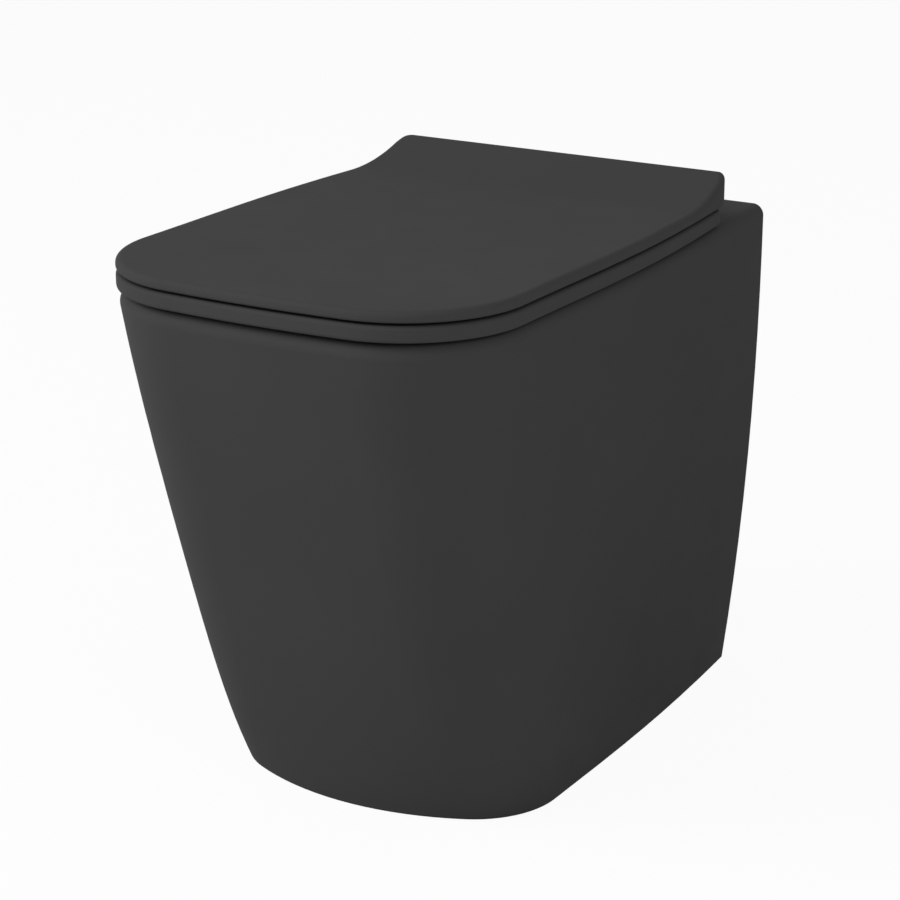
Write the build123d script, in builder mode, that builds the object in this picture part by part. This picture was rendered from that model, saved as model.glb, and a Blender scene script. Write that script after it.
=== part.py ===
from build123d import *
from math import asin, atan2, cos, pi, sin, sqrt
import os

os.makedirs("parts", exist_ok=True)

# Plan outline that the seat and the cover share, y is measured from the wall until a piece is written
seat_front_half = 175.3
seat_rear_half = 160.0
seat_reach = 561.0
seat_corner_r = 101.5
seat_bow_r = 1060.0
seat_swell = 8.0
rear_corner_r = 31.0
rear_margin = 1.0
cut_margin = 50.0

# Pan outside
rim_h = 434.2
pan_inset = 0.8
pan_rear_half = 157.2
base_front_half = 144.6
base_rear_half = 130.9
base_reach = 440.7
base_corner_r = 76.2
base_bow_r = 233.7
base_swell = 4.7
rear_taper_power = 2.2
reach_sag = -0.213
width_sag = -0.085
reach_bulge = 0.08
width_bulge = 0.2
rim_edge_r = 10.0
wall_t = 14.0
deck_t = 22.0
foot_cut = 1.0
bowl_wall_t = 11.0

# Bowl, at the rim, the waist, the throat and the sump, with the land in front of it and the deck behind it
bowl_w = 262.0
rim_front = 47.2
bowl_back = 179.0
bowl_corner_r = 112.0
waist_w = 222.0
waist_in = 52.0
waist_shift = 4.0
waist_corner_r = 98.0
waist_h = 300.0
throat_w = 142.0
throat_l = 170.0
throat_shift = 1.0
throat_corner_r = 64.0
throat_h = 200.0
sump_w = 86.0
sump_l = 92.0
sump_shift = 6.0
sump_corner_r = 38.0
sump_h = 120.0
bowl_edge_r = 6.0

# Trap and outlet
trap_r = 36.0
trap_wall_t = 10.0
trap_bend_r = 50.0
trap_lead = 5.0
trap_start_h = 150.0
dip_y = -275.0
dip_h = 72.0
weir_y = -150.0
weir_h = 252.0
outlet_turn_y = -80.0
outlet_h = 188.0
outlet_r = 51.0
outlet_l = 50.0
outlet_back = 8.0

# Flush inlet
inlet_h = 345.0
inlet_back = 12.0
inlet_seat_r = 27.5
inlet_seat_l = 45.0
inlet_wall_t = 10.0
channel_r = 23.0
seal_bore_r = 22.5
seal_lip_r = 34.0
seal_lip_t = 3.0
splitter_reach = 21.0
splitter_tail = 30.0
splitter_bore_r = 17.0
splitter_gap = 9.0
splitter_w = 72.0
splitter_depth = 36.0
splitter_corner_r = 15.0
splitter_t = 5.0
splitter_web = 5.0

# Seat and cover heights
seat_gap = 2.2
seat_t = 12.8
cover_gap = 2.2
cover_t = 9.2
seat_edge_r = 3.0
seat_under_r = 3.0
cover_edge_r = 5.0
cover_under_r = 2.7
seat_hole_w = 222.0
seat_front_land = 61.0
seat_hole_back = 204.0
seat_hole_r = 104.0
seat_hole_edge_r = 4.0
recess_land = 26.0
recess_depth = 4.0
recess_end_y = -178.0

# Hinge line
axis_y = -86.0
barrel_r = 14.5
barrel_wall_t = 3.5
ramp_l = 79.0
hinge_spacing = 155.0
turn_gap = 0.6
deck_gap = 1.2
side_gap = 1.0

# Hinge blocks on the deck
block_w = 40.0
post_forward = 26.0
pedestal_front = 40.0
pedestal_back = 12.5
pedestal_drop = 4.5
arm_depth = 11.2
notch_front = 48.0
ear_w = 16.5
ear_front = 11.0
ear_rear = 7.0
lip_gap = 0.6

# Hinge fixings
pad_t = 1.0
plate_t = 2.0
plate_w = 38.0
plate_l = 28.0
plate_corner_r = 6.0
hole_r = 7.0
post_r = 5.0
post_h = 9.5
groove_r = 3.3
groove_up = 3.5
groove_h = 3.4
socket_w = 4.0
socket_depth = 3.0
stud_r = 3.0
stud_l = 44.0
stud_clear = 0.2
sleeve_bulge_r = 10.0
sleeve_bulge_h = 10.0
nut_w = 11.0
nut_h = 6.0
post_clear = 0.1

# Dampers, shafts, pins and bushes
damper_r = 8.0
damper_l = 28.0
damper_flat = 6.5
shaft_r = 4.0
shaft_flat = 3.0
shaft_out = 17.0
shaft_in = 12.0
run_clear = 0.05
pin_in = 11.0
pin_out = 16.5
bush_r = 6.0

# Release buttons
button_w = 22.0
button_h = 6.0
button_l = 6.0
button_proud = 4.0
button_edge_r = 1.0
button_travel = 3.0
button_clear = 0.3
latch_w = 16.0
latch_t = 3.0
latch_back = 6.0
latch_clear = 0.2
release_r = 5.2
grip_r = 3.7
spring_r = 1.4
spring_wire_r = 0.25
spring_turns = 3
spring_pocket_r = 2.0

# Buffers
seat_buffer_l = 30.0
seat_buffer_w = 12.0
buffer_peg_r = 2.5
buffer_peg_h = 5.0
cover_buffer_r = 6.0
front_buffer_side = 55.3
front_buffer_in = 56.0
rear_buffer_side = 35.3
rear_buffer_back = 215.0
cover_front_buffer_side = 41.3
cover_front_buffer_in = 42.0
cover_rear_buffer_side = 12.3
cover_rear_buffer_back = 300.0

# Heights and places that follow from the sizes above
bowl_l = seat_reach - pan_inset - rim_front - bowl_back
bowl_y = -bowl_back - bowl_l / 2
splitter_y = -bowl_back - splitter_reach
waist_l = bowl_l - waist_in
waist_y = bowl_y + waist_shift
throat_y = bowl_y + throat_shift
sump_y = bowl_y + sump_shift
trap_start_y = sump_y - trap_lead
seat_hole_l = seat_reach - seat_front_land - seat_hole_back
seat_hole_y = -seat_hole_back - seat_hole_l / 2
front_buffer_x = seat_front_half - front_buffer_side
front_buffer_y = front_buffer_in - seat_reach
rear_buffer_x = seat_front_half - rear_buffer_side
rear_buffer_y = -rear_buffer_back
cover_front_buffer_x = seat_front_half - cover_front_buffer_side
cover_front_buffer_y = cover_front_buffer_in - seat_reach
cover_rear_buffer_x = seat_front_half - cover_rear_buffer_side
cover_rear_buffer_y = -cover_rear_buffer_back
seat_bottom = rim_h + seat_gap
seat_top = seat_bottom + seat_t
cover_bottom = seat_top + cover_gap
cover_top = cover_bottom + cover_t
axis_h = seat_top + turn_gap + barrel_r
axis_up = axis_h - rim_h
block_r = barrel_r - barrel_wall_t - turn_gap
hinge_x = hinge_spacing / 2
post_y = axis_y - post_forward
plate_top = rim_h + pad_t + plate_t
block_in = hinge_x - block_w / 2
block_out = hinge_x + block_w / 2
ear_out = block_in - side_gap
ear_in = ear_out - ear_w
boss_face = block_out + side_gap
window_in = ear_in - side_gap
rear_y = axis_y + barrel_r
pedestal_y = axis_y - pedestal_front
latch_bottom = plate_top + groove_up + latch_clear
latch_mid = latch_bottom + latch_t / 2
latch_end_y = post_y + latch_back
spring_end_y = latch_end_y + 2 * button_travel
seat_rear_y = axis_y + sqrt((axis_up - deck_gap) ** 2 - (axis_up - seat_gap) ** 2)
hollow_end_h = axis_h - (axis_h - cover_bottom) * (1 - barrel_wall_t / barrel_r)
lip_y = axis_y + sqrt((barrel_r - barrel_wall_t) ** 2 - (axis_h - hollow_end_h) ** 2) - lip_gap
ramp_rise = cover_top - axis_h
ramp_r = (ramp_l**2 + ramp_rise**2 - barrel_r**2) / (2 * (barrel_r - ramp_rise))
ramp_turn = asin(ramp_l / (ramp_r + barrel_r))
bush_l = pin_out - side_gap
button_y = pedestal_y - button_proud
button_end_y = button_y + button_l
wide = 2 * (seat_front_half + cut_margin)
hinge_line = Plane((0, axis_y, axis_h), x_dir=(0, 1, 0), z_dir=(1, 0, 0))
from_wall = Location((0, seat_reach / 2, 0))


def plan_outline(front_half, reach, corner_r, bow_r, rear_half, swell, rear):
    """Draw one plan outline: bowed front, round corners, swelling sides and a straight rear."""
    bow_y = bow_r - reach
    corner_x = front_half - corner_r
    corner_y = bow_y - sqrt((bow_r - corner_r) ** 2 - corner_x**2)
    meet = atan2(corner_x, bow_y - corner_y)
    half_way = (meet + pi / 2) / 2
    bow_x = bow_r * sin(meet)
    bow_end = bow_y - bow_r * cos(meet)
    mid_x = corner_x + corner_r * sin(half_way)
    mid_y = corner_y - corner_r * cos(half_way)
    side_x = (front_half + rear_half) / 2 + swell
    side_y = (corner_y + rear) / 2
    end_slope = rear_half - front_half - 4 * swell
    ThreePointArc((-bow_x, bow_end), (0, -reach), (bow_x, bow_end))
    for side in (1, -1):
        ThreePointArc((side * bow_x, bow_end), (side * mid_x, mid_y), (side * front_half, corner_y))
        Spline(
            (side * front_half, corner_y),
            (side * side_x, side_y),
            (side * rear_half, rear),
            tangents=((0, 1), (side * end_slope, rear - corner_y)),
        )
    Line((-rear_half, rear), (rear_half, rear))


def pan_at(height, inset):
    """Give the pan's outline sizes at a height, moved in by an inset."""
    drop = 1 - height / rim_h
    bow = drop * (1 - drop)
    swing = bow * (2 * drop - 1) ** 2
    across = drop + width_sag * bow - width_bulge * swing
    along = drop + reach_sag * bow - reach_bulge * swing
    top_front = seat_front_half - pan_inset
    top_reach = seat_reach - pan_inset
    return (
        top_front + (base_front_half - top_front) * across - inset,
        top_reach + (base_reach - top_reach) * along - inset,
        seat_corner_r - pan_inset + (base_corner_r - seat_corner_r + pan_inset) * drop - inset,
        seat_bow_r + (base_bow_r - seat_bow_r) * drop - inset,
        pan_rear_half + (base_rear_half - pan_rear_half) * drop**rear_taper_power - inset,
        seat_swell + (base_swell - seat_swell) * drop,
    )


def trap_line():
    """Draw the centre line of the trap from the sump over the weir to the outlet."""
    FilletPolyline(
        (trap_start_y, trap_start_h),
        (dip_y, dip_h),
        (weir_y, weir_h),
        (outlet_turn_y, outlet_h),
        (-outlet_back, outlet_h),
        radius=trap_bend_r,
    )


def cover_profile(inset, end_h):
    """Draw the ramp and the barrel of the cover in side view, moved in by an inset, to an end height."""
    around = barrel_r - inset
    ramp_y = axis_y - ramp_l
    ramp_h = cover_top + ramp_r
    slope = ramp_r + inset
    top = (axis_y - around * sin(ramp_turn), axis_h + around * cos(ramp_turn))
    ThreePointArc(
        (ramp_y, cover_top - inset),
        (ramp_y + slope * sin(ramp_turn / 2), ramp_h - slope * cos(ramp_turn / 2)),
        top,
    )
    ThreePointArc(
        top,
        (axis_y + around * cos(pi / 4), axis_h + around * sin(pi / 4)),
        (axis_y + sqrt(around**2 - (end_h - axis_h) ** 2), end_h),
    )


def double_flat():
    """Draw the two-flat shape by which a damper shaft drives its part."""
    Circle(shaft_r)
    Rectangle(4 * shaft_r, 2 * shaft_flat, mode=Mode.INTERSECT)


skirt_shares = (0, 0.12, 0.3, 0.6, 0.88, 1)
bowl_sections = (
    (rim_h, bowl_w, bowl_l, bowl_corner_r, bowl_y),
    (waist_h, waist_w, waist_l, waist_corner_r, waist_y),
    (throat_h, throat_w, throat_l, throat_corner_r, throat_y),
    (sump_h, sump_w, sump_l, sump_corner_r, sump_y),
)

with BuildPart() as pan:
    for share in skirt_shares:
        height = share * rim_h
        with BuildSketch(Plane.XY.offset(height)):
            with BuildLine():
                plan_outline(*pan_at(height, 0), rear_margin)
            make_face()
    loft()
    split(bisect_by=Plane.XZ, keep=Keep.TOP)
    fillet(pan.faces().sort_by(Axis.Z)[-1].edges().sort_by(Axis.Y)[:-1], rim_edge_r)
    for share in skirt_shares:
        height = share * (rim_h - deck_t + foot_cut) - foot_cut
        with BuildSketch(Plane.XY.offset(height)):
            with BuildLine():
                plan_outline(*pan_at(height, wall_t), rear_margin)
            make_face()
    loft(mode=Mode.SUBTRACT)
    for height, width, length, corner, place in bowl_sections:
        level = min(height, rim_h - deck_t / 2) - (bowl_wall_t if height == sump_h else 0)
        with BuildSketch(Plane.XY.offset(level)):
            with Locations((0, place)):
                RectangleRounded(width + 2 * bowl_wall_t, length + 2 * bowl_wall_t, corner + bowl_wall_t)
    loft()
    with BuildLine(Plane.YZ) as trap_path:
        trap_line()
    with BuildSketch(Plane(trap_path.line @ 0, z_dir=trap_path.line % 0)):
        Circle(trap_r + trap_wall_t)
    sweep(path=trap_path.line)
    with BuildSketch(Plane.XZ.offset(outlet_back)):
        with Locations((0, outlet_h)):
            Circle(outlet_r)
    extrude(amount=outlet_l)
    with BuildSketch(Plane.XZ.offset(inlet_back)):
        with Locations((0, inlet_h)):
            Circle(inlet_seat_r + inlet_wall_t)
    extrude(until=Until.NEXT)
    for height, width, length, corner, place in bowl_sections:
        with BuildSketch(Plane.XY.offset(height)):
            with Locations((0, place)):
                RectangleRounded(width, length, corner)
    loft(mode=Mode.SUBTRACT)
    fillet(pan.faces().sort_by(Axis.Z)[-1].inner_wires()[0].edges(), bowl_edge_r)
    with BuildSketch(Plane(trap_path.line @ 0, z_dir=trap_path.line % 0)):
        Circle(trap_r)
    sweep(path=trap_path.line, mode=Mode.SUBTRACT)
    with BuildSketch(Plane.XZ.offset(inlet_back)):
        with Locations((0, inlet_h)):
            Circle(inlet_seat_r)
    extrude(amount=inlet_seat_l, mode=Mode.SUBTRACT)
    with BuildSketch(Plane.XZ.offset(inlet_back)):
        with Locations((0, inlet_h)):
            Circle(channel_r)
    extrude(amount=-bowl_y - inlet_back, mode=Mode.SUBTRACT)
    with BuildSketch(Plane.XY.offset(rim_h)):
        with Locations((-hinge_x, post_y), (hinge_x, post_y)):
            Circle(hole_r)
    extrude(amount=-2 * deck_t, mode=Mode.SUBTRACT)
pan.part.label = "pan"
pan.part.move(from_wall)
export_step(pan.part, "parts/pan.step")

with BuildPart() as flush_splitter:
    with BuildSketch(Plane.XZ.offset(-splitter_y - splitter_tail)):
        with Locations((0, inlet_h)):
            Circle(channel_r)
            Circle(splitter_bore_r, mode=Mode.SUBTRACT)
    extrude(amount=splitter_tail)
    with BuildSketch(Plane.XZ.offset(-splitter_y - splitter_tail)):
        with Locations((0, inlet_h)):
            Rectangle(splitter_web, splitter_depth)
            Circle(channel_r, mode=Mode.INTERSECT)
    extrude(amount=splitter_tail + splitter_gap)
    with BuildSketch(Plane.XZ.offset(-splitter_y + splitter_gap)):
        with Locations((0, inlet_h)):
            RectangleRounded(splitter_w, splitter_depth, splitter_corner_r)
    extrude(amount=splitter_t)
flush_splitter.part.label = "flush_splitter"
flush_splitter.part.move(from_wall)
export_step(flush_splitter.part, "parts/flush_splitter.step")

with BuildPart() as inlet_seal:
    with BuildSketch(Plane.XZ.offset(inlet_back)):
        with Locations((0, inlet_h)):
            Circle(inlet_seat_r)
    extrude(amount=inlet_seat_l)
    with BuildSketch(Plane.XZ.offset(inlet_back)):
        with Locations((0, inlet_h)):
            Circle(seal_lip_r)
    extrude(amount=-seal_lip_t)
    with BuildSketch(Plane.XZ.offset(inlet_back - seal_lip_t)):
        with Locations((0, inlet_h)):
            Circle(seal_bore_r)
    extrude(amount=seal_lip_t + inlet_seat_l, mode=Mode.SUBTRACT)
inlet_seal.part.label = "inlet_seal"
inlet_seal.part.move(from_wall)
export_step(inlet_seal.part, "parts/inlet_seal.step")

with BuildPart() as expansion_sleeves:
    with BuildSketch(Plane.XY.offset(rim_h)):
        with Locations((-hinge_x, post_y), (hinge_x, post_y)):
            Circle(hole_r)
    extrude(amount=-deck_t)
    with BuildSketch(Plane.XY.offset(rim_h - deck_t)):
        with Locations((-hinge_x, post_y), (hinge_x, post_y)):
            Circle(sleeve_bulge_r)
    extrude(amount=-sleeve_bulge_h)
    with BuildSketch(Plane.XY.offset(rim_h)):
        with Locations((-hinge_x, post_y), (hinge_x, post_y)):
            Circle(stud_r + stud_clear)
    extrude(amount=-deck_t - sleeve_bulge_h, mode=Mode.SUBTRACT)
expansion_sleeves.part.label = "expansion_sleeves"
expansion_sleeves.part.move(from_wall)
export_step(expansion_sleeves.part, "parts/expansion_sleeves.step")

with BuildPart() as sleeve_nuts:
    with BuildSketch(Plane.XY.offset(rim_h - deck_t - sleeve_bulge_h)):
        with Locations((-hinge_x, post_y), (hinge_x, post_y)):
            RegularPolygon(nut_w / 2, 6, major_radius=False)
            Circle(stud_r, mode=Mode.SUBTRACT)
    extrude(amount=-nut_h)
sleeve_nuts.part.label = "sleeve_nuts"
sleeve_nuts.part.move(from_wall)
export_step(sleeve_nuts.part, "parts/sleeve_nuts.step")

with BuildPart() as base_pads:
    with BuildSketch(Plane.XY.offset(rim_h)):
        with Locations((-hinge_x, post_y), (hinge_x, post_y)):
            RectangleRounded(plate_w, plate_l, plate_corner_r)
            Circle(stud_r + stud_clear, mode=Mode.SUBTRACT)
    extrude(amount=pad_t)
base_pads.part.label = "base_pads"
base_pads.part.move(from_wall)
export_step(base_pads.part, "parts/base_pads.step")

with BuildPart() as base_plates:
    with BuildSketch(Plane.XY.offset(rim_h + pad_t)):
        with Locations((-hinge_x, post_y), (hinge_x, post_y)):
            RectangleRounded(plate_w, plate_l, plate_corner_r)
            Circle(stud_r + stud_clear, mode=Mode.SUBTRACT)
    extrude(amount=plate_t)
base_plates.part.label = "base_plates"
base_plates.part.move(from_wall)
export_step(base_plates.part, "parts/base_plates.step")

with BuildPart() as hinge_studs:
    with BuildSketch(Plane.XY.offset(plate_top)):
        with Locations((-hinge_x, post_y), (hinge_x, post_y)):
            Circle(post_r)
    extrude(amount=post_h)
    with BuildSketch(Plane.XY.offset(plate_top + groove_up)):
        with Locations((-hinge_x, post_y), (hinge_x, post_y)):
            Circle(2 * post_r)
            Circle(groove_r, mode=Mode.SUBTRACT)
    extrude(amount=groove_h, mode=Mode.SUBTRACT)
    with BuildSketch(Plane.XY.offset(plate_top + post_h)):
        with Locations((-hinge_x, post_y), (hinge_x, post_y)):
            RegularPolygon(socket_w / 2, 6, major_radius=False)
    extrude(amount=-socket_depth, mode=Mode.SUBTRACT)
    with BuildSketch(Plane.XY.offset(plate_top)):
        with Locations((-hinge_x, post_y), (hinge_x, post_y)):
            Circle(stud_r)
    extrude(amount=-stud_l)
hinge_studs.part.label = "hinge_studs"
hinge_studs.part.move(from_wall)
export_step(hinge_studs.part, "parts/hinge_studs.step")

with BuildPart() as hinge_block_left:
    with BuildSketch(hinge_line.offset(-block_out)):
        Circle(block_r)
        with Locations((-pedestal_front, plate_top - axis_h)):
            Rectangle(
                pedestal_front - pedestal_back,
                axis_h - plate_top - pedestal_drop,
                align=(Align.MIN, Align.MIN),
            )
        with BuildLine():
            Polyline((0, 0), (-pedestal_back, -pedestal_drop), (-pedestal_back, -arm_depth), close=True)
        make_face()
    extrude(amount=block_w)
    with BuildSketch(hinge_line.offset(-block_out)):
        Circle(damper_r)
        with Locations((0, damper_flat)):
            Rectangle(3 * damper_r, damper_r, align=(Align.CENTER, Align.MIN), mode=Mode.SUBTRACT)
    extrude(amount=damper_l, mode=Mode.SUBTRACT)
    with BuildSketch(hinge_line.offset(-block_in - pin_in)):
        Circle(shaft_r)
    extrude(amount=pin_in, mode=Mode.SUBTRACT)
    with BuildSketch(Plane.XY.offset(plate_top)):
        with Locations((-hinge_x, post_y)):
            Circle(post_r + post_clear)
    extrude(amount=post_h + post_clear, mode=Mode.SUBTRACT)
    with BuildSketch(Plane.XZ.offset(-pedestal_y)):
        with Locations((-hinge_x, latch_mid)):
            Rectangle(button_w + 2 * button_clear, button_h + 2 * button_clear)
    extrude(amount=button_proud - button_l - button_travel - button_clear, mode=Mode.SUBTRACT)
    with BuildSketch(Plane.XZ.offset(-pedestal_y)):
        with Locations((-hinge_x, latch_mid)):
            Rectangle(latch_w + 2 * latch_clear, latch_t + 2 * latch_clear)
    extrude(amount=pedestal_y - latch_end_y - button_travel - latch_clear, mode=Mode.SUBTRACT)
    with BuildSketch(Plane.XZ.offset(-latch_end_y)):
        with Locations((-hinge_x, latch_mid)):
            Circle(spring_pocket_r)
    extrude(amount=latch_end_y - spring_end_y, mode=Mode.SUBTRACT)
hinge_block_left.part.label = "hinge_block_left"
hinge_block_left.part.move(from_wall)
export_step(hinge_block_left.part, "parts/hinge_block_left.step")

with BuildPart() as hinge_block_right:
    with Locations((hinge_spacing, 0, 0)):
        add(hinge_block_left.part)
hinge_block_right.part.label = "hinge_block_right"
export_step(hinge_block_right.part, "parts/hinge_block_right.step")

with BuildPart() as cover_damper:
    with BuildSketch(hinge_line.offset(-block_out)):
        Circle(damper_r)
        with Locations((0, damper_flat)):
            Rectangle(3 * damper_r, damper_r, align=(Align.CENTER, Align.MIN), mode=Mode.SUBTRACT)
    extrude(amount=damper_l)
    with BuildSketch(hinge_line.offset(-block_out)):
        Circle(shaft_r + run_clear)
    extrude(amount=shaft_in, mode=Mode.SUBTRACT)
cover_damper.part.label = "cover_damper"
cover_damper.part.move(from_wall)
export_step(cover_damper.part, "parts/cover_damper.step")

with BuildPart() as seat_damper:
    with Locations((hinge_spacing, 0, 0)):
        add(cover_damper.part)
seat_damper.part.label = "seat_damper"
export_step(seat_damper.part, "parts/seat_damper.step")

with BuildPart() as cover_damper_shaft:
    with BuildSketch(hinge_line.offset(-boss_face)):
        Circle(shaft_r)
    extrude(amount=side_gap + shaft_in - button_clear)
    with BuildSketch(hinge_line.offset(-boss_face)):
        double_flat()
    extrude(amount=side_gap - shaft_out)
cover_damper_shaft.part.label = "cover_damper_shaft"
cover_damper_shaft.part.move(from_wall)
export_step(cover_damper_shaft.part, "parts/cover_damper_shaft.step")

with BuildPart() as seat_damper_shaft:
    with Locations((hinge_spacing, 0, 0)):
        add(cover_damper_shaft.part)
seat_damper_shaft.part.label = "seat_damper_shaft"
export_step(seat_damper_shaft.part, "parts/seat_damper_shaft.step")

with BuildPart() as pivot_pins:
    for face in (-block_in, block_out):
        with BuildSketch(hinge_line.offset(face - pin_in)):
            Circle(shaft_r)
        extrude(amount=pin_in + pin_out)
pivot_pins.part.label = "pivot_pins"
pivot_pins.part.move(from_wall)
export_step(pivot_pins.part, "parts/pivot_pins.step")

with BuildPart() as seat_bush:
    with BuildSketch(hinge_line.offset(-ear_out)):
        Circle(bush_r)
        Circle(shaft_r + run_clear, mode=Mode.SUBTRACT)
    extrude(amount=bush_l)
seat_bush.part.label = "seat_bush"
seat_bush.part.move(from_wall)
export_step(seat_bush.part, "parts/seat_bush.step")

with BuildPart() as cover_bush:
    with BuildSketch(hinge_line.offset(boss_face)):
        Circle(bush_r)
        Circle(shaft_r + run_clear, mode=Mode.SUBTRACT)
    extrude(amount=bush_l)
cover_bush.part.label = "cover_bush"
cover_bush.part.move(from_wall)
export_step(cover_bush.part, "parts/cover_bush.step")

with BuildPart() as release_button_left:
    with BuildSketch(Plane.XZ.offset(-button_y)):
        with Locations((-hinge_x, latch_mid)):
            Rectangle(button_w, button_h)
    extrude(amount=-button_l)
    fillet(release_button_left.faces().sort_by(Axis.Y)[0].edges(), button_edge_r)
    with BuildSketch(Plane.XY.offset(latch_bottom)):
        with Locations((-hinge_x, button_end_y)):
            Rectangle(latch_w, latch_end_y - button_end_y, align=(Align.CENTER, Align.MIN))
        with Locations((-hinge_x, post_y - button_travel)):
            Circle(release_r, mode=Mode.SUBTRACT)
        with Locations((-hinge_x, post_y)):
            Circle(grip_r, mode=Mode.SUBTRACT)
    extrude(amount=latch_t)
release_button_left.part.label = "release_button_left"
release_button_left.part.move(from_wall)
export_step(release_button_left.part, "parts/release_button_left.step")

with BuildPart() as release_button_right:
    with Locations((hinge_spacing, 0, 0)):
        add(release_button_left.part)
release_button_right.part.label = "release_button_right"
export_step(release_button_right.part, "parts/release_button_right.step")

with BuildPart() as button_springs:
    spring_l = button_travel - 2 * spring_wire_r - latch_clear
    for place in (-hinge_x, hinge_x):
        with BuildLine() as coil:
            Helix(
                spring_l / spring_turns,
                spring_l,
                spring_r,
                center=(place, spring_end_y - spring_wire_r - spring_l, latch_mid),
                direction=(0, 1, 0),
            )
        with BuildSketch(Plane(coil.line @ 0, z_dir=coil.line % 0)):
            Circle(spring_wire_r)
        sweep(path=coil.line, is_frenet=True)
button_springs.part.label = "button_springs"
button_springs.part.move(from_wall)
export_step(button_springs.part, "parts/button_springs.step")

with BuildPart() as seat_ring:
    with BuildSketch(Plane.XY.offset(seat_bottom)) as seat_plan:
        with BuildLine():
            plan_outline(
                seat_front_half,
                seat_reach,
                seat_corner_r,
                seat_bow_r,
                seat_rear_half,
                seat_swell,
                seat_rear_y,
            )
        make_face()
        fillet(seat_plan.vertices().sort_by(Axis.Y)[-2:], rear_corner_r)
        with Locations((0, seat_hole_y)):
            RectangleRounded(seat_hole_w, seat_hole_l, seat_hole_r, mode=Mode.SUBTRACT)
    extrude(amount=seat_t)
    seat_face = seat_ring.faces().sort_by(Axis.Z)[-1]
    fillet(seat_face.inner_wires()[0].edges(), seat_hole_edge_r)
    fillet(seat_ring.faces().sort_by(Axis.Z)[-1].outer_wire().edges(), seat_edge_r)
    fillet(seat_ring.faces().sort_by(Axis.Z)[0].outer_wire().edges(), seat_under_r)
    for face in (-ear_out, ear_in):
        with BuildSketch(hinge_line.offset(face)):
            Circle(block_r)
            with Locations((-ear_front, 0)):
                Rectangle(ear_front + ear_rear, axis_h - seat_bottom, align=(Align.MIN, Align.MAX))
        extrude(amount=ear_w)
    with BuildSketch(Plane.XY.offset(rim_h)):
        with Locations((-boss_face, axis_y - notch_front), (ear_out, axis_y - notch_front)):
            Rectangle(boss_face - ear_out, 2 * notch_front, align=(Align.MIN, Align.MIN))
    extrude(amount=axis_up, mode=Mode.SUBTRACT)
    with BuildSketch(hinge_line.offset(-ear_out)):
        Circle(bush_r)
    extrude(amount=ear_w, mode=Mode.SUBTRACT)
    with BuildSketch(hinge_line.offset(ear_in)):
        double_flat()
    extrude(amount=ear_w, mode=Mode.SUBTRACT)
    with BuildSketch(Plane.XY.offset(seat_bottom)):
        for side in (-1, 1):
            with Locations((side * front_buffer_x, front_buffer_y), (side * rear_buffer_x, rear_buffer_y)):
                Circle(buffer_peg_r)
    extrude(amount=buffer_peg_h, mode=Mode.SUBTRACT)
seat_ring.part.label = "seat_ring"
seat_ring.part.move(from_wall)
export_step(seat_ring.part, "parts/seat_ring.step")

with BuildPart() as seat_buffers:
    with BuildSketch(Plane.XY.offset(rim_h)):
        for side in (-1, 1):
            with Locations((side * front_buffer_x, front_buffer_y), (side * rear_buffer_x, rear_buffer_y)):
                SlotOverall(seat_buffer_l, seat_buffer_w, rotation=90)
    extrude(amount=seat_gap)
    with BuildSketch(Plane.XY.offset(seat_bottom)):
        for side in (-1, 1):
            with Locations((side * front_buffer_x, front_buffer_y), (side * rear_buffer_x, rear_buffer_y)):
                Circle(buffer_peg_r)
    extrude(amount=buffer_peg_h)
seat_buffers.part.label = "seat_buffers"
seat_buffers.part.move(from_wall)
export_step(seat_buffers.part, "parts/seat_buffers.step")

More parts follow.
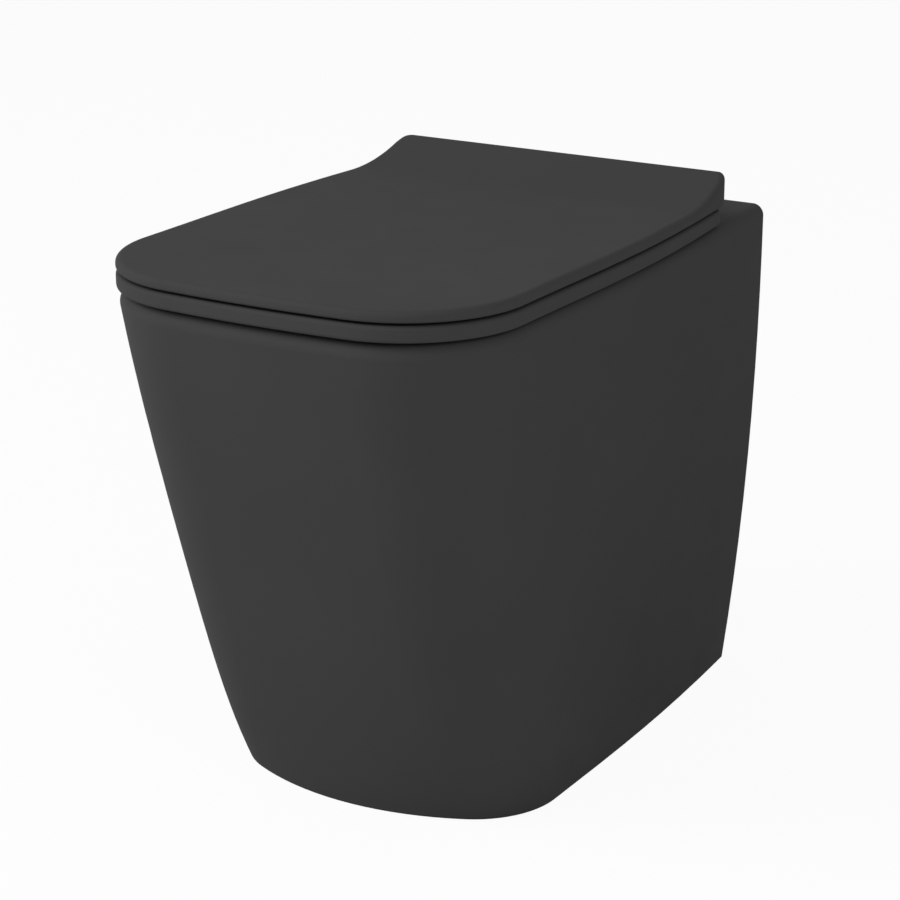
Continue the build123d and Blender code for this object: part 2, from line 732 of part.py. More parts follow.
with BuildPart() as cover:
    with BuildSketch(Plane.XY.offset(cover_bottom)) as cover_plan:
        with BuildLine():
            plan_outline(
                seat_front_half,
                seat_reach,
                seat_corner_r,
                seat_bow_r,
                seat_rear_half,
                seat_swell,
                rear_y + rear_margin,
            )
        make_face()
        fillet(cover_plan.vertices().sort_by(Axis.Y)[-2:], rear_corner_r)
    extrude(amount=axis_h + 2 * barrel_r - cover_bottom)
    with BuildSketch(Plane.YZ.offset(-wide / 2)):
        with BuildLine() as side_view:
            cover_profile(0, cover_bottom)
            Polyline(
                side_view.line @ 1,
                (-2 * seat_reach, cover_bottom),
                (-2 * seat_reach, cover_top),
                (axis_y - ramp_l, cover_top),
            )
        make_face()
    extrude(amount=wide, mode=Mode.INTERSECT)
    upper_edges = cover.edges().filter_by_position(Axis.Z, cover_bottom + cover_t / 2, axis_h + barrel_r)
    rim_edges = upper_edges.filter_by(Axis.X, reverse=True).filter_by(Axis.Z, reverse=True)
    fillet(rim_edges, cover_edge_r)
    fillet(cover.faces().sort_by(Axis.Z)[0].edges().sort_by(Axis.Y)[:-1], cover_under_r)
    with BuildSketch(Plane.YZ.offset(-boss_face)):
        with BuildLine() as hollow:
            cover_profile(barrel_wall_t, hollow_end_h)
            hollow_end = hollow.line @ 1
            Polyline(
                hollow_end,
                (hollow_end.X, rim_h),
                (axis_y - ramp_l, rim_h),
                (axis_y - ramp_l, cover_top - barrel_wall_t),
            )
        make_face()
    extrude(amount=2 * boss_face, mode=Mode.SUBTRACT)
    with BuildSketch(Plane.XY.offset(rim_h)):
        with Locations((-boss_face, lip_y), (window_in, lip_y)):
            Rectangle(boss_face - window_in, 2 * barrel_r, align=(Align.MIN, Align.MIN))
    extrude(amount=2 * axis_up, mode=Mode.SUBTRACT)
    with BuildSketch(hinge_line.offset(-boss_face)):
        double_flat()
    extrude(amount=side_gap - shaft_out, mode=Mode.SUBTRACT)
    with BuildSketch(hinge_line.offset(boss_face)):
        Circle(bush_r)
    extrude(amount=bush_l, mode=Mode.SUBTRACT)
    with BuildSketch(Plane.XY.offset(cover_bottom)):
        with BuildLine():
            plan_outline(
                seat_front_half - recess_land,
                seat_reach - recess_land,
                seat_corner_r - recess_land,
                seat_bow_r - recess_land,
                seat_front_half - recess_land,
                seat_swell,
                recess_end_y,
            )
        make_face()
    extrude(amount=recess_depth, mode=Mode.SUBTRACT)
cover.part.label = "cover"
cover.part.move(from_wall)
export_step(cover.part, "parts/cover.step")

with BuildPart() as cover_buffers:
    with BuildSketch(Plane.XY.offset(seat_top)):
        for side in (-1, 1):
            with Locations(
                (side * cover_front_buffer_x, cover_front_buffer_y),
                (side * cover_rear_buffer_x, cover_rear_buffer_y),
            ):
                Circle(cover_buffer_r)
    extrude(amount=cover_gap)
cover_buffers.part.label = "cover_buffers"
cover_buffers.part.move(from_wall)
export_step(cover_buffers.part, "parts/cover_buffers.step")
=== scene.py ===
from math import pi

import bpy
from bpy.props import FloatProperty, FloatVectorProperty, PointerProperty
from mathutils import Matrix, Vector


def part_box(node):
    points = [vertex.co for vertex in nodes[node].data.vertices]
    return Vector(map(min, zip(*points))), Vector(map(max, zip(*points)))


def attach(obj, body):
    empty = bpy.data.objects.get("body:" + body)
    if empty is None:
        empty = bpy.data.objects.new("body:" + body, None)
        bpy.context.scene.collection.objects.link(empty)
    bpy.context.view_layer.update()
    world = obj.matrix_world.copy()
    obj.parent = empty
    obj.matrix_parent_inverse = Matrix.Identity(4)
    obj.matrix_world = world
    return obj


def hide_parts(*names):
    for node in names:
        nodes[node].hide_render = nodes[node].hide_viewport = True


bl_info = {
    "name": "Back-to-wall toilet",
    "version": (1, 0, 0),
    "blender": (4, 5, 0),
    "location": "View3D > Sidebar > Toilet",
    "description": "Finishes a matte black toilet pan with its seat, cover, hinges and rubber pieces",
    "category": "Object",
}

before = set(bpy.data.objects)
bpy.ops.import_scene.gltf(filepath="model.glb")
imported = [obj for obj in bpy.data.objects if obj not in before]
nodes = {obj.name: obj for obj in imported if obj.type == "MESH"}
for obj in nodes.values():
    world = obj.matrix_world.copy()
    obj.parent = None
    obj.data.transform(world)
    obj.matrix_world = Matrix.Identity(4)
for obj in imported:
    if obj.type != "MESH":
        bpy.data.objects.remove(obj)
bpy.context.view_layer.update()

# Places read from the frame, in metres
RIM_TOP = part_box("seat_buffers")[0].z
SEAT_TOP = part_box("cover_buffers")[0].z
COVER_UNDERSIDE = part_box("cover_buffers")[1].z
PAD_LOW, PAD_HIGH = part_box("base_pads")
SLEEVE_LOW, SLEEVE_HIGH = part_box("expansion_sleeves")
SEAL_LOW, SEAL_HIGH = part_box("inlet_seal")
SEAL_HEIGHT = (SEAL_LOW.z + SEAL_HIGH.z) / 2

# Places of the buffers on the right, x and y
SEAT_BUFFER_PLACES = ((0.120, -0.2245), (0.140, 0.0655))
COVER_BUFFER_PLACES = ((0.134, -0.2385), (0.163, -0.0195))

# Small steps and edges of the rubber pieces
CUP_RIM = 0.0012
CUP_DEPTH = 0.0005
CUP_RISE = 0.0004
SLEEVE_EDGE = 0.0005

# Swelling of an expansion sleeve from its shoulder down: step in from the widest place, share of the height
SLEEVE_SWELLING = ((0.0012, 0.94), (0.0003, 0.78), (0, 0.55), (0.0004, 0.35), (0.0014, 0.12), (0.0026, 0))

SEAL_RIBS = 5
SEAL_RIB_HEIGHT = 0.0012
SEAL_RIB_MARGIN = 0.003
SEAL_MOUTH = 0.0008
SEAL_GROOVE = 0.0006
SEAL_GROOVE_IN = 0.0024
SEAL_FRONT_EDGE = 0.0007
SEAL_BACK_EDGE = 0.0005

# Finishes and stage
SMOOTH_ANGLE = 0.6
TONE_SPAN = (0.35, 0.65)
NOISE_SPAN = (0.3, 0.7)
GRAIN_STRENGTH = 0.3
LINE_SCALE = 400
LINE_DEPTH = 0.00002
LINE_STRENGTH = 0.2

FLOOR_SIZE = 60
FLOOR_ROUGHNESS = 0.9
SENSOR_WIDTH = 36
LAMP_AIM = Vector((0, 0, 0.25))
HINGE_STEEL = (
    "base_plates",
    "hinge_studs",
    "pivot_pins",
    "cover_damper_shaft",
    "seat_damper_shaft",
    "button_springs",
)


def colour_prop(name, description, default):
    """One colour that a user would change."""
    return FloatVectorProperty(
        name=name, description=description, subtype="COLOR", size=3, min=0, max=1, default=default
    )


def length_prop(name, description, default):
    """One length in metres that a user would change."""
    return FloatProperty(name=name, description=description, default=default, unit="LENGTH", precision=4)


def share_prop(name, description, default):
    """One share between nothing and all."""
    return FloatProperty(name=name, description=description, default=default, min=0, max=1, subtype="FACTOR")


def power_prop(name, description, default):
    """Power of one lamp in watts."""
    return FloatProperty(name=name, description=description, default=default, min=0, unit="POWER")


class CeramicSettings(bpy.types.PropertyGroup):
    """Glaze of the pan."""

    dark: colour_prop("Glaze, thick", "Glaze where it pooled", (0.049, 0.049, 0.0492))
    light: colour_prop("Glaze, thin", "Glaze where it ran thin", (0.051, 0.051, 0.0512))
    rough_low: share_prop("Least roughness", "Roughness of the smoothest patches", 0.80)
    rough_high: share_prop("Most roughness", "Roughness of the dullest patches", 0.86)
    specular: share_prop("Specular", "Level of the glaze's own reflection", 0.04)


class ShellSettings(bpy.types.PropertyGroup):
    """Moulding of the seat and the cover."""

    dark: colour_prop("Shell, dark", "Darker tone of the moulding", (0.049, 0.049, 0.0492))
    light: colour_prop("Shell, light", "Lighter tone of the moulding", (0.051, 0.051, 0.0512))
    rough_low: share_prop("Least roughness", "Roughness of the smoothest patches", 0.80)
    rough_high: share_prop("Most roughness", "Roughness of the dullest patches", 0.86)
    specular: share_prop("Specular", "Level of the moulding's own reflection", 0.04)


class RubberSettings(bpy.types.PropertyGroup):
    """Buffers, pads, sleeves and seal."""

    dark: colour_prop("Rubber, dark", "Darker tone of the rubber", (0.014, 0.014, 0.014))
    light: colour_prop("Rubber, light", "Lighter tone of the rubber", (0.022, 0.022, 0.022))
    pad_width: length_prop("Seat buffer width", "Width of one seat buffer", 0.012)
    pad_length: length_prop("Seat buffer length", "Length of one seat buffer", 0.030)
    pad_round: length_prop("Seat buffer rounding", "Rounding of its lower edge", 0.0009)
    pad_ring: length_prop("Seat buffer ring", "Width of the ring in its lower face", 0.0010)
    peg_radius: length_prop("Peg radius", "Radius of the peg in the seat", 0.0024)
    peg_length: length_prop("Peg length", "Length of the peg in the seat", 0.0049)
    disc_radius: length_prop("Cover buffer radius", "Radius of one cover buffer", 0.006)
    disc_round: length_prop("Cover buffer rounding", "Rounding of its lower edge", 0.0012)
    disc_ring: length_prop("Cover buffer ring", "Width of the ring in its lower face", 0.0008)
    plate_width: length_prop("Pad width", "Width of the pad under a hinge plate", 0.038)
    plate_round: length_prop("Pad corner", "Corner radius of the pad under a hinge plate", 0.006)
    stud_hole: length_prop("Stud hole", "Radius of the hole for a hinge stud", 0.0032)
    sleeve_shank: length_prop("Sleeve radius", "Radius of an expansion sleeve in the deck", 0.007)
    sleeve_swell: length_prop("Sleeve swelling", "Height of its swelling under the deck", 0.010)
    seal_bore: length_prop("Seal bore", "Radius of the seal's ribs, which hold the flush pipe", 0.0225)
    seal_body: length_prop("Seal body", "Radius of the seal in its socket", 0.0275)
    seal_lip: length_prop("Seal lip", "Thickness of the seal's rear lip", 0.003)


class HingeSettings(bpy.types.PropertyGroup):
    """Finishes of the hinges, the fixings and the flush splitter."""

    block_dark: colour_prop("Block, dark", "Darker tone of the hinge blocks", (0.022, 0.022, 0.023))
    block_light: colour_prop("Block, light", "Lighter tone of the hinge blocks", (0.03, 0.03, 0.031))
    splitter_dark: colour_prop("Splitter, dark", "Darker tone of the splitter", (0.02, 0.02, 0.021))
    splitter_light: colour_prop("Splitter, light", "Lighter tone of the splitter", (0.028, 0.028, 0.029))
    acetal_dark: colour_prop("Acetal, dark", "Darker tone of cartridges and bushes", (0.68, 0.68, 0.65))
    acetal_light: colour_prop("Acetal, light", "Lighter tone of cartridges and bushes", (0.76, 0.76, 0.73))
    steel_dark: colour_prop("Steel, dark", "Darker lines of the steel", (0.52, 0.52, 0.51))
    steel_light: colour_prop("Steel, light", "Lighter lines of the steel", (0.64, 0.64, 0.63))
    brass_dark: colour_prop("Brass, dark", "Darker lines of the nuts", (0.62, 0.45, 0.2))
    brass_light: colour_prop("Brass, light", "Lighter lines of the nuts", (0.74, 0.56, 0.28))
    plated_dark: colour_prop("Plating, dark", "Darker lines of the buttons", (0.62, 0.62, 0.62))
    plated_light: colour_prop("Plating, light", "Lighter lines of the buttons", (0.7, 0.7, 0.7))


class StageSettings(bpy.types.PropertyGroup):
    """Camera and lamps."""

    eye: FloatVectorProperty(
        name="Camera place",
        description="Where the camera stands",
        size=3,
        subtype="TRANSLATION",
        unit="LENGTH",
        default=(1.1180, -1.8504, 0.9727),
    )
    aim: FloatVectorProperty(
        name="Camera aim",
        description="Point on the optical axis",
        size=3,
        subtype="TRANSLATION",
        unit="LENGTH",
        default=(0.0, 0.0534, 0.1922),
    )
    lens: FloatProperty(name="Lens", description="Focal length in millimetres", default=108.13)
    shift_x: FloatProperty(name="Shift across", description="Sideways shift of the frame", default=-0.0310)
    shift_y: FloatProperty(name="Shift up", description="Upward shift of the frame", default=0.0653)
    floor: colour_prop("Floor", "Colour of the floor", (0.8, 0.8, 0.8))
    white: share_prop("White floor", "Share of plain white that the camera sees on the floor", 0.94)
    ambient: FloatProperty(name="Ambient", description="Strength of the light from all round", default=0.37)
    key: power_prop("Key lamp", "Power of the high lamp at the left", 88.0)
    fill: power_prop("Fill lamp", "Power of the near lamp at the right", 10.6)


def new_material(name):
    """Make an empty node material and give its tree, its output shader and its object coordinates."""
    material = bpy.data.materials.new(name)
    material.use_nodes = True
    tree = material.node_tree
    shader = tree.nodes["Principled BSDF"]
    place = tree.nodes.new("ShaderNodeTexCoord")
    return material, tree, shader, place


def noise(tree, place, scale, detail, stretch=None):
    """Add one noise on object coordinates, stretched along an axis where asked."""
    texture = tree.nodes.new("ShaderNodeTexNoise")
    texture.inputs["Scale"].default_value = scale
    texture.inputs["Detail"].default_value = detail
    source = place.outputs["Object"]
    if stretch:
        mapping = tree.nodes.new("ShaderNodeMapping")
        mapping.inputs["Scale"].default_value = stretch
        tree.links.new(source, mapping.inputs["Vector"])
        source = mapping.outputs["Vector"]
    tree.links.new(source, texture.inputs["Vector"])
    return texture.outputs["Fac"]


def tone(tree, factor, dark, light, target):
    """Blend two tones over a noise into a colour socket."""
    ramp = tree.nodes.new("ShaderNodeValToRGB")
    for stop, place, colour in zip(ramp.color_ramp.elements, TONE_SPAN, (dark, light)):
        stop.position = place
        stop.color = (*colour, 1)
    tree.links.new(factor, ramp.inputs["Fac"])
    tree.links.new(ramp.outputs["Color"], target)


def spread(tree, factor, low, high, target):
    """Map a noise onto a range of values for a socket."""
    ranged = tree.nodes.new("ShaderNodeMapRange")
    ranged.inputs["From Min"].default_value = NOISE_SPAN[0]
    ranged.inputs["From Max"].default_value = NOISE_SPAN[1]
    ranged.inputs["To Min"].default_value = low
    ranged.inputs["To Max"].default_value = high
    tree.links.new(factor, ranged.inputs["Value"])
    tree.links.new(ranged.outputs["Result"], target)


def relief(tree, factor, depth, strength, target):
    """Turn a noise into a bump of a real depth."""
    bump = tree.nodes.new("ShaderNodeBump")
    bump.inputs["Distance"].default_value = depth
    bump.inputs["Strength"].default_value = strength
    tree.links.new(factor, bump.inputs["Height"])
    tree.links.new(bump.outputs["Normal"], target)


def moulded(name, dark, light, rough, cloud, grain, depth, specular):
    """Finish of a glazed or moulded surface: clouded tone, uneven dullness and a fine grain."""
    material, tree, shader, place = new_material(name)
    tone(tree, noise(tree, place, cloud, 3), dark, light, shader.inputs["Base Color"])
    spread(tree, noise(tree, place, cloud * 4, 2), rough[0], rough[1], shader.inputs["Roughness"])
    relief(tree, noise(tree, place, grain, 4), depth, GRAIN_STRENGTH, shader.inputs["Normal"])
    shader.inputs["Specular IOR Level"].default_value = specular
    return material


def metal(name, dark, light, rough, stretch):
    """Finish of a drawn or turned metal piece: fine lines along one axis."""
    material, tree, shader, place = new_material(name)
    lines = noise(tree, place, LINE_SCALE, 3, stretch)
    tone(tree, lines, dark, light, shader.inputs["Base Color"])
    spread(tree, lines, rough[0], rough[1], shader.inputs["Roughness"])
    relief(tree, lines, LINE_DEPTH, LINE_STRENGTH, shader.inputs["Normal"])
    shader.inputs["Metallic"].default_value = 1
    return material


def rubber_finish(look):
    """Dull black rubber with a fine moulded grain, made once."""
    made = bpy.data.materials.get("soft_black_rubber")
    if made:
        return made
    return moulded(
        "soft_black_rubber",
        look.dark,
        look.light,
        rough=(0.7, 0.85),
        cloud=80,
        grain=2200,
        depth=0.00008,
        specular=0.3,
    )


def dress(material, *names):
    """Give CAD nodes one finish."""
    for name in names:
        nodes[name].data.materials.clear()
        nodes[name].data.materials.append(material)


def pick(piece, kind, test):
    """Go into edit mode with the faces or points of a piece that pass a test selected."""
    if piece.mode == "EDIT":
        bpy.ops.object.mode_set(mode="OBJECT")
    mesh = piece.data
    for items in (mesh.vertices, mesh.edges, mesh.polygons):
        items.foreach_set("select", [False] * len(items))
    for item in mesh.polygons if kind == "FACE" else mesh.vertices:
        item.select = test(item)
    bpy.context.tool_settings.mesh_select_mode = (kind == "VERT", False, kind == "FACE")
    bpy.ops.object.mode_set(mode="EDIT")


def end_face(piece, way):
    """Go into edit mode with the lowest or highest flat end of a piece selected."""
    if piece.mode == "EDIT":
        bpy.ops.object.mode_set(mode="OBJECT")
    ends = [face for face in piece.data.polygons if face.normal.z * way > 0.99]
    if not ends:
        raise RuntimeError(piece.name + " has no flat end")
    end = max(ends, key=lambda face: face.area).index
    pick(piece, "FACE", lambda face: face.index == end)


def round_end(piece, way, radius, steps):
    """Round the edge of one flat end."""
    end_face(piece, way)
    bpy.ops.mesh.bevel(offset=radius, segments=steps, affect="EDGES")


def step_end(piece, way, inset, depth):
    """Inset one flat end and push the inner face in or out."""
    end_face(piece, way)
    bpy.ops.mesh.inset(thickness=inset)
    bpy.ops.transform.translate(value=(0, 0, depth))


def cup(piece, ring):
    """Sink a shallow cup with a raised floor into the lower end of a buffer."""
    step_end(piece, -1, CUP_RIM, CUP_DEPTH)
    step_end(piece, -1, ring, -CUP_RISE)


def cylinder(name, radius, height, steps, base=0):
    """Add one closed cylinder that stands on a height."""
    bpy.ops.object.select_all(action="DESELECT")
    bpy.ops.mesh.primitive_cylinder_add(
        vertices=steps, radius=radius, depth=height, location=(0, 0, base + height / 2)
    )
    piece = bpy.context.object
    piece.name = name
    bpy.ops.object.transform_apply(location=True)
    return piece


def turned(name, rings, steps):
    """Turn a hollow piece about Z from rings of radius and height, and join the last ring to the first."""
    bpy.ops.object.select_all(action="DESELECT")
    radius, height = rings[0]
    bpy.ops.mesh.primitive_circle_add(vertices=steps, radius=radius, location=(0, 0, height))
    piece = bpy.context.object
    piece.name = name
    bpy.ops.object.transform_apply(location=True)
    pick(piece, "VERT", lambda point: True)
    for next_radius, next_height in rings[1:]:
        rise = (0, 0, next_height - height)
        ratio = next_radius / radius
        bpy.ops.mesh.extrude_region_move(TRANSFORM_OT_translate={"value": rise})
        bpy.ops.transform.resize(value=(ratio, ratio, 1), center_override=(0, 0, next_height))
        radius, height = next_radius, next_height
    bpy.ops.mesh.select_all(action="DESELECT")
    bpy.ops.mesh.select_non_manifold()
    bpy.ops.mesh.bridge_edge_loops()
    bpy.ops.mesh.select_all(action="SELECT")
    bpy.ops.mesh.normals_make_consistent(inside=False)
    bpy.ops.object.mode_set(mode="OBJECT")
    return piece


def place_piece(piece, place, turn=(0, 0, 0)):
    """Put a finished piece in its place, in its mesh."""
    bpy.ops.object.select_all(action="DESELECT")
    piece.select_set(True)
    bpy.context.view_layer.objects.active = piece
    piece.rotation_euler = turn
    piece.location = place
    bpy.ops.object.transform_apply(location=True, rotation=True, scale=True)


def settle(piece, body, node, material):
    """Smooth a finished piece, dress it and let it ride in place of its CAD node."""
    bpy.ops.object.select_all(action="DESELECT")
    piece.select_set(True)
    bpy.context.view_layer.objects.active = piece
    bpy.ops.object.shade_smooth_by_angle(angle=SMOOTH_ANGLE)
    piece.data.materials.clear()
    piece.data.materials.append(material)
    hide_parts(node)
    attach(piece, body)


def set_out(model, places, body, node, material):
    """Copy one model to its places, each with its own mesh, and take the model away."""
    for number, place in enumerate(places, 1):
        bpy.ops.object.select_all(action="DESELECT")
        model.select_set(True)
        bpy.context.view_layer.objects.active = model
        bpy.ops.object.duplicate(linked=False)
        copy = bpy.context.object
        copy.name = f"{model.name}_{number}"
        place_piece(copy, place)
        settle(copy, body, node, material)
    bpy.data.objects.remove(model)


def both_sides(places, height):
    """Give the places on the left and on the right at one height."""
    return [(side * x, y, height) for x, y in places for side in (-1, 1)]


class TOILET_OT_pan(bpy.types.Operator):
    """Give the pan its matte glaze"""

    bl_idname = "toilet.pan"
    bl_label = "Pan"

    def execute(self, context):
        look = context.scene.toilet_ceramic
        glaze = moulded(
            "matte_black_glaze",
            look.dark,
            look.light,
            rough=(look.rough_low, look.rough_high),
            cloud=9,
            grain=700,
            depth=0.00006,
            specular=look.specular,
        )
        dress(glaze, "pan")
        return {"FINISHED"}


class TOILET_OT_shells(bpy.types.Operator):
    """Give the seat ring and the cover their moulded finish"""

    bl_idname = "toilet.shells"
    bl_label = "Seat and cover"

    def execute(self, context):
        look = context.scene.toilet_shell
        shell = moulded(
            "matte_black_shell",
            look.dark,
            look.light,
            rough=(look.rough_low, look.rough_high),
            cloud=7,
            grain=1100,
            depth=0.00004,
            specular=look.specular,
        )
        dress(shell, "seat_ring", "cover")
        return {"FINISHED"}


class TOILET_OT_hinges(bpy.types.Operator):
    """Finish the hinge blocks, cartridges, bushes, pins, fixings and the flush splitter"""

    bl_idname = "toilet.hinges"
    bl_label = "Hinges and fixings"

    def execute(self, context):
        look = context.scene.toilet_hinge
        black = moulded(
            "hinge_block_black",
            look.block_dark,
            look.block_light,
            rough=(0.42, 0.55),
            cloud=60,
            grain=1500,
            depth=0.00005,
            specular=0.4,
        )
        splitter = moulded(
            "splitter_black",
            look.splitter_dark,
            look.splitter_light,
            rough=(0.4, 0.5),
            cloud=50,
            grain=1500,
            depth=0.00005,
            specular=0.4,
        )
        pale = moulded(
            "acetal_pale",
            look.acetal_dark,
            look.acetal_light,
            rough=(0.35, 0.45),
            cloud=50,
            grain=1800,
            depth=0.00003,
            specular=0.5,
        )
        steel = metal("stainless_steel", look.steel_dark, look.steel_light, (0.25, 0.4), (0.05, 1, 1))
        brass = metal("plain_brass", look.brass_dark, look.brass_light, (0.25, 0.4), (1, 1, 0.1))
        plated = metal("plated_button", look.plated_dark, look.plated_light, (0.12, 0.2), (0.2, 1, 1))
        dress(black, "hinge_block_left", "hinge_block_right")
        dress(splitter, "flush_splitter")
        dress(pale, "cover_damper", "seat_damper", "seat_bush", "cover_bush")
        dress(steel, *HINGE_STEEL)
        dress(brass, "sleeve_nuts")
        dress(plated, "release_button_left", "release_button_right")
        return {"FINISHED"}


class TOILET_OT_seat_buffers(bpy.types.Operator):
    """Model the four long buffers under the seat"""

    bl_idname = "toilet.seat_buffers"
    bl_label = "Seat buffers"

    def execute(self, context):
        look = context.scene.toilet_rubber
        half = look.pad_width / 2
        stretch = look.pad_length / 2 - half
        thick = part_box("seat_ring")[0].z - RIM_TOP
        model = cylinder("seat_buffer", half, thick, 30)
        end_face(model, 1)
        bpy.ops.mesh.inset(thickness=half - look.peg_radius)
        bpy.ops.mesh.extrude_region_move(TRANSFORM_OT_translate={"value": (0, 0, look.peg_length)})
        round_end(model, 1, look.peg_radius / 3, 3)
        for side in (1, -1):
            pick(model, "VERT", lambda point: point.co.y * side > 0 and point.co.xy.length > half * 0.9)
            bpy.ops.transform.translate(value=(0, side * stretch, 0))
        round_end(model, -1, look.pad_round, 4)
        cup(model, look.pad_ring)
        bpy.ops.object.mode_set(mode="OBJECT")
        places = both_sides(SEAT_BUFFER_PLACES, RIM_TOP)
        set_out(model, places, "seat", "seat_buffers", rubber_finish(look))
        return {"FINISHED"}


class TOILET_OT_cover_buffers(bpy.types.Operator):
    """Model the four round buffers under the cover"""

    bl_idname = "toilet.cover_buffers"
    bl_label = "Cover buffers"

    def execute(self, context):
        look = context.scene.toilet_rubber
        model = cylinder("cover_buffer", look.disc_radius, COVER_UNDERSIDE - SEAT_TOP, 40)
        round_end(model, -1, look.disc_round, 4)
        cup(model, look.disc_ring)
        bpy.ops.object.mode_set(mode="OBJECT")
        places = both_sides(COVER_BUFFER_PLACES, SEAT_TOP)
        set_out(model, places, "cover", "cover_buffers", rubber_finish(look))
        return {"FINISHED"}


class TOILET_OT_base_pads(bpy.types.Operator):
    """Model the two rubber pads under the hinge plates"""

    bl_idname = "toilet.base_pads"
    bl_label = "Hinge plate pads"

    def execute(self, context):
        look = context.scene.toilet_rubber
        length = PAD_HIGH.y - PAD_LOW.y
        thick = PAD_HIGH.z - PAD_LOW.z
        bpy.ops.object.select_all(action="DESELECT")
        bpy.ops.mesh.primitive_plane_add(size=1)
        model = context.object
        model.name = "base_pad"
        model.scale = (look.plate_width, length, 1)
        bpy.ops.object.transform_apply(scale=True)
        pick(model, "VERT", lambda point: True)
        bpy.ops.mesh.bevel(offset=look.plate_round, segments=8, affect="VERTICES")
        bpy.ops.mesh.select_all(action="SELECT")
        bpy.ops.mesh.extrude_region_move(TRANSFORM_OT_translate={"value": (0, 0, thick)})
        bpy.ops.mesh.select_all(action="SELECT")
        bpy.ops.mesh.normals_make_consistent(inside=False)
        for way in (1, -1):
            round_end(model, way, thick / 4, 2)
        bpy.ops.object.mode_set(mode="OBJECT")
        cutter = cylinder("stud_cutter", look.stud_hole, 3 * thick, 32, -thick)
        cut = model.modifiers.new("stud_hole", "BOOLEAN")
        cut.object = cutter
        cut.solver = "EXACT"
        bpy.context.view_layer.objects.active = model
        bpy.ops.object.modifier_apply(modifier=cut.name)
        bpy.data.objects.remove(cutter)
        across = PAD_HIGH.x - look.plate_width / 2
        middle = (PAD_HIGH.y + PAD_LOW.y) / 2
        places = both_sides(((across, middle),), PAD_LOW.z)
        set_out(model, places, "pan", "base_pads", rubber_finish(look))
        return {"FINISHED"}


class TOILET_OT_sleeves(bpy.types.Operator):
    """Model the two expansion sleeves that hold the hinges in the deck"""

    bl_idname = "toilet.sleeves"
    bl_label = "Expansion sleeves"

    def execute(self, context):
        look = context.scene.toilet_rubber
        shank = look.sleeve_shank
        bulge = (SLEEVE_HIGH.y - SLEEVE_LOW.y) / 2
        top = SLEEVE_HIGH.z - SLEEVE_LOW.z
        swell = look.sleeve_swell
        rings = [
            (look.stud_hole, top),
            (shank - SLEEVE_EDGE, top),
            (shank, top - SLEEVE_EDGE),
            (shank, swell),
        ]
        rings += [(bulge - step, swell * share) for step, share in SLEEVE_SWELLING]
        rings.append((look.stud_hole, 0))
        model = turned("expansion_sleeve", rings, 40)
        across = SLEEVE_HIGH.x - bulge
        middle = (SLEEVE_HIGH.y + SLEEVE_LOW.y) / 2
        places = both_sides(((across, middle),), SLEEVE_LOW.z)
        set_out(model, places, "pan", "expansion_sleeves", rubber_finish(look))
        return {"FINISHED"}


class TOILET_OT_seal(bpy.types.Operator):
    """Model the ribbed seal in the flush inlet"""

    bl_idname = "toilet.seal"
    bl_label = "Inlet seal"

    def execute(self, context):
        look = context.scene.toilet_rubber
        length = SEAL_HIGH.y - SEAL_LOW.y
        lip = (SEAL_HIGH.x - SEAL_LOW.x) / 2
        body = look.seal_body
        valley = look.seal_bore + SEAL_RIB_HEIGHT
        shoulder = length - look.seal_lip
        groove = lip - SEAL_GROOVE_IN
        rings = [
            (valley + SEAL_MOUTH, length),
            (groove - SEAL_GROOVE, length),
            (groove, length - SEAL_GROOVE),
            (groove + SEAL_GROOVE, length),
            (lip - SEAL_GROOVE, length),
            (lip, length - SEAL_FRONT_EDGE),
            (lip, shoulder + SEAL_BACK_EDGE),
            (lip - SEAL_BACK_EDGE, shoulder),
            (body, shoulder),
            (body, SEAL_GROOVE),
            (body - SEAL_GROOVE, 0),
            (valley, 0),
        ]
        pitch = (length - 2 * SEAL_RIB_MARGIN) / SEAL_RIBS
        for rib in range(SEAL_RIBS):
            start = SEAL_RIB_MARGIN + rib * pitch
            rings += [
                (valley, start),
                (look.seal_bore, start + pitch * 0.35),
                (look.seal_bore, start + pitch * 0.55),
                (valley, start + pitch * 0.75),
            ]
        seal = turned("inlet_seal_ribbed", rings, 64)
        place_piece(seal, (0, SEAL_LOW.y, SEAL_HEIGHT), (-pi / 2, 0, 0))
        settle(seal, "pan", "inlet_seal", rubber_finish(look))
        return {"FINISHED"}


def seen(tree):
    """Give one where the camera looks, straight or by a mirror or a clear piece, and zero elsewhere."""
    path = tree.nodes.new("ShaderNodeLightPath")
    total = path.outputs["Is Camera Ray"]
    for name in ("Is Glossy Ray", "Is Transmission Ray"):
        either = tree.nodes.new("ShaderNodeMath")
        either.operation = "MAXIMUM"
        tree.links.new(total, either.inputs[0])
        tree.links.new(path.outputs[name], either.inputs[1])
        total = either.outputs["Value"]
    return total


def floor_finish(colour, white):
    """Pale floor that takes a shadow and shows mostly white to the camera."""
    material = bpy.data.materials.new("pale_floor")
    material.use_nodes = True
    tree = material.node_tree
    shader = tree.nodes["Principled BSDF"]
    shader.inputs["Base Color"].default_value = (*colour, 1)
    shader.inputs["Roughness"].default_value = FLOOR_ROUGHNESS
    shader.inputs["Specular IOR Level"].default_value = 0
    glow = tree.nodes.new("ShaderNodeEmission")
    share = tree.nodes.new("ShaderNodeMath")
    share.operation = "MULTIPLY"
    share.inputs[1].default_value = white
    mix = tree.nodes.new("ShaderNodeMixShader")
    tree.links.new(seen(tree), share.inputs[0])
    tree.links.new(share.outputs["Value"], mix.inputs["Fac"])
    tree.links.new(shader.outputs["BSDF"], mix.inputs[1])
    tree.links.new(glow.outputs["Emission"], mix.inputs[2])
    tree.links.new(mix.outputs["Shader"], tree.nodes["Material Output"].inputs["Surface"])
    return material


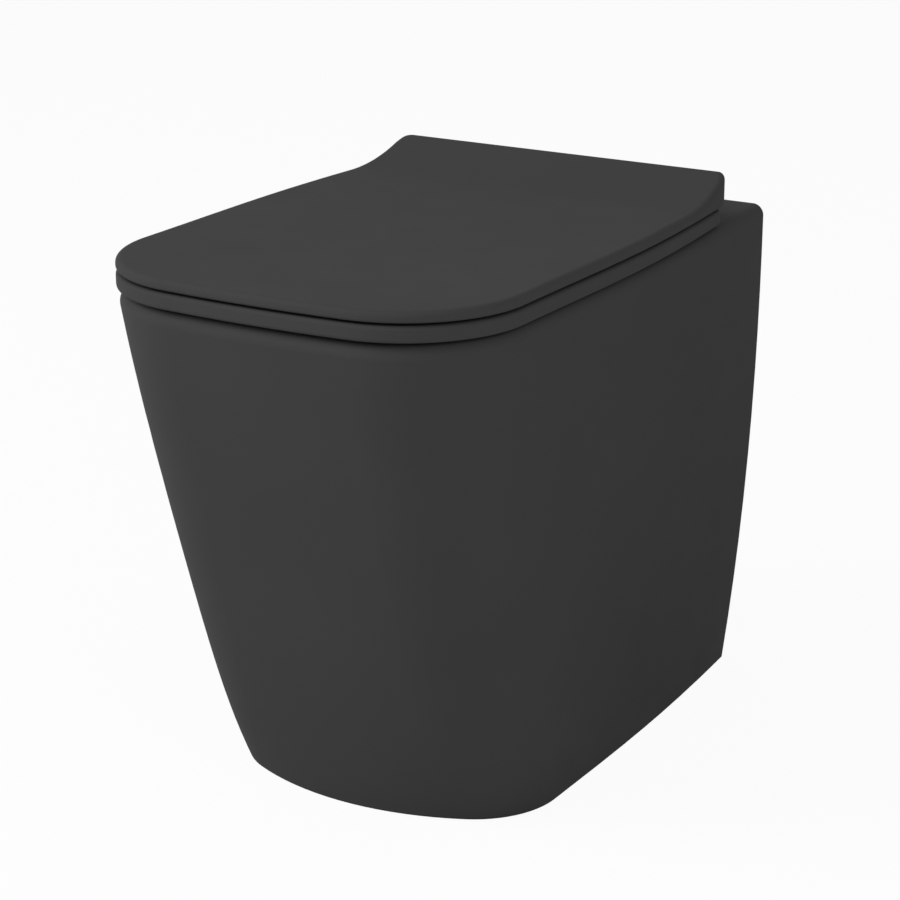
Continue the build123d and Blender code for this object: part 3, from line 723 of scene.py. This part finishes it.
def studio_world(ambient):
    """White all round for the camera, and a plain soft light from all round for the object."""
    world = bpy.data.worlds.new("studio")
    world.use_nodes = True
    tree = world.node_tree
    lit = tree.nodes["Background"]
    lit.inputs["Color"].default_value = (1, 1, 1, 1)
    lit.inputs["Strength"].default_value = ambient
    white = tree.nodes.new("ShaderNodeBackground")
    white.inputs["Color"].default_value = (1, 1, 1, 1)
    mix = tree.nodes.new("ShaderNodeMixShader")
    tree.links.new(seen(tree), mix.inputs["Fac"])
    tree.links.new(lit.outputs["Background"], mix.inputs[1])
    tree.links.new(white.outputs["Background"], mix.inputs[2])
    tree.links.new(mix.outputs["Shader"], tree.nodes["World Output"].inputs["Surface"])
    return world


class TOILET_OT_stage(bpy.types.Operator):
    """Set the floor, the lamps, the world and the camera"""

    bl_idname = "toilet.stage"
    bl_label = "Stage"

    def execute(self, context):
        look = context.scene.toilet_stage
        bpy.ops.object.select_all(action="DESELECT")
        bpy.ops.mesh.primitive_plane_add(size=FLOOR_SIZE, location=(0, 0, 0))
        floor = context.object
        floor.name = "floor"
        floor.data.materials.append(floor_finish(look.floor, look.white))
        context.scene.world = studio_world(look.ambient)
        lamps = (
            ("key_lamp", (-2.2, -2.0, 2.2), 2.2, look.key),
            ("fill_lamp", (1.6, -0.9, 1.3), 1.0, look.fill),
        )
        for name, place, size, power in lamps:
            bpy.ops.object.light_add(type="AREA", location=place)
            lamp = context.object
            lamp.name = name
            lamp.data.shape = "DISK"
            lamp.data.size = size
            lamp.data.energy = power
            lamp.rotation_euler = (LAMP_AIM - Vector(place)).to_track_quat("-Z", "Y").to_euler()
        aim = Vector(look.aim) - Vector(look.eye)
        bpy.ops.object.camera_add(location=look.eye, rotation=aim.to_track_quat("-Z", "Y").to_euler())
        camera = context.object
        camera.name = "photo_camera"
        camera.data.sensor_width = SENSOR_WIDTH
        camera.data.sensor_fit = "HORIZONTAL"
        camera.data.lens = look.lens
        camera.data.shift_x = look.shift_x
        camera.data.shift_y = look.shift_y
        context.scene.camera = camera
        context.scene.view_settings.view_transform = "Standard"
        return {"FINISHED"}


class VIEW3D_PT_toilet(bpy.types.Panel):
    """Sidebar list of the pieces"""

    bl_label = "Back-to-wall toilet"
    bl_space_type = "VIEW_3D"
    bl_region_type = "UI"
    bl_category = "Toilet"

    def draw(self, context):
        for operator in OPERATORS:
            self.layout.operator(operator.bl_idname)


SETTINGS = {
    "toilet_ceramic": CeramicSettings,
    "toilet_shell": ShellSettings,
    "toilet_rubber": RubberSettings,
    "toilet_hinge": HingeSettings,
    "toilet_stage": StageSettings,
}
OPERATORS = (
    TOILET_OT_pan,
    TOILET_OT_shells,
    TOILET_OT_hinges,
    TOILET_OT_seat_buffers,
    TOILET_OT_cover_buffers,
    TOILET_OT_base_pads,
    TOILET_OT_sleeves,
    TOILET_OT_seal,
    TOILET_OT_stage,
)


def register():
    """Register the settings, the operators and the panel."""
    for name, group in SETTINGS.items():
        bpy.utils.register_class(group)
        setattr(bpy.types.Scene, name, PointerProperty(type=group))
    for operator in OPERATORS:
        bpy.utils.register_class(operator)
    bpy.utils.register_class(VIEW3D_PT_toilet)


def unregister():
    """Take the panel, the operators and the settings out again."""
    bpy.utils.unregister_class(VIEW3D_PT_toilet)
    for operator in reversed(OPERATORS):
        bpy.utils.unregister_class(operator)
    for name, group in SETTINGS.items():
        delattr(bpy.types.Scene, name)
        bpy.utils.unregister_class(group)


def main():
    """Finish the whole object."""
    register()
    bpy.ops.toilet.pan()
    bpy.ops.toilet.shells()
    bpy.ops.toilet.hinges()
    bpy.ops.toilet.seat_buffers()
    bpy.ops.toilet.cover_buffers()
    bpy.ops.toilet.base_pads()
    bpy.ops.toilet.sleeves()
    bpy.ops.toilet.seal()
    bpy.ops.toilet.stage()


if __name__ == "__main__":
    main()
